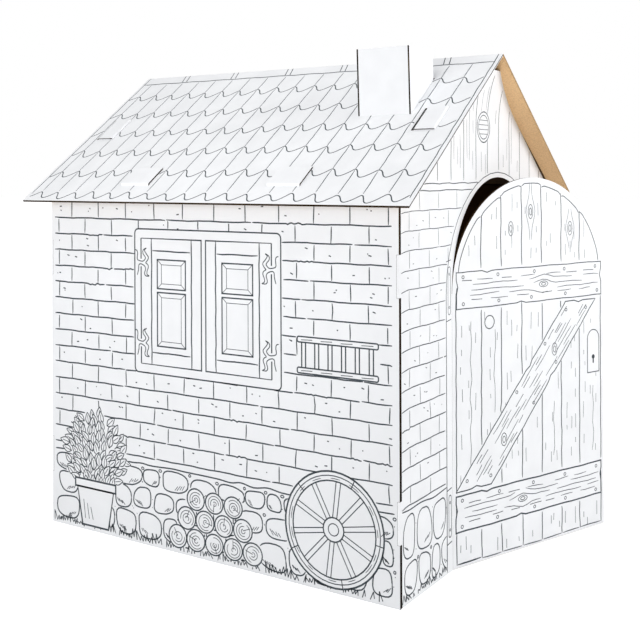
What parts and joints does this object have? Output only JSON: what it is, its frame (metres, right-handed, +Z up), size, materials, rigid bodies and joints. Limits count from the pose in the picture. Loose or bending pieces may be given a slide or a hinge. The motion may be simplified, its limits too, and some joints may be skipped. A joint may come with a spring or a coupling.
{
  "type": "cardboard playhouse",
  "caption": "Child-size playhouse of folded white corrugated board with a pitched roof, an arched hinged door and a chimney, held together by tabs and slots.",
  "frame": {"origin": "on the floor, under the middle of the whole box with the door ajar", "axes": "+Z up, +Y along the ridge towards the rear gable, +X to the right as seen from the door"},
  "size_m": [0.935, 1.2372, 1.1638],
  "materials": {
    "card": "matte white liner, kraft inside"
  },
  "bodies": {
    "house": {"left_wall": "card", "right_wall": "card", "front_gable": "card", "rear_gable": "card", "roof": "card", "chimney_lower_panel": "card", "chimney_upper_panel": "card", "chimney_near_side": "card", "chimney_far_side": "card"},
    "door": {"door": "card"}
  },
  "joints": [
    {"name": "door_hinge", "type": "hinge", "parent": "house", "child": "door", "pos_m": [-0.1745, -0.43141, 0], "axis": [0, 0, -1], "range_deg": [-21.4, 128.6]}
  ]
}
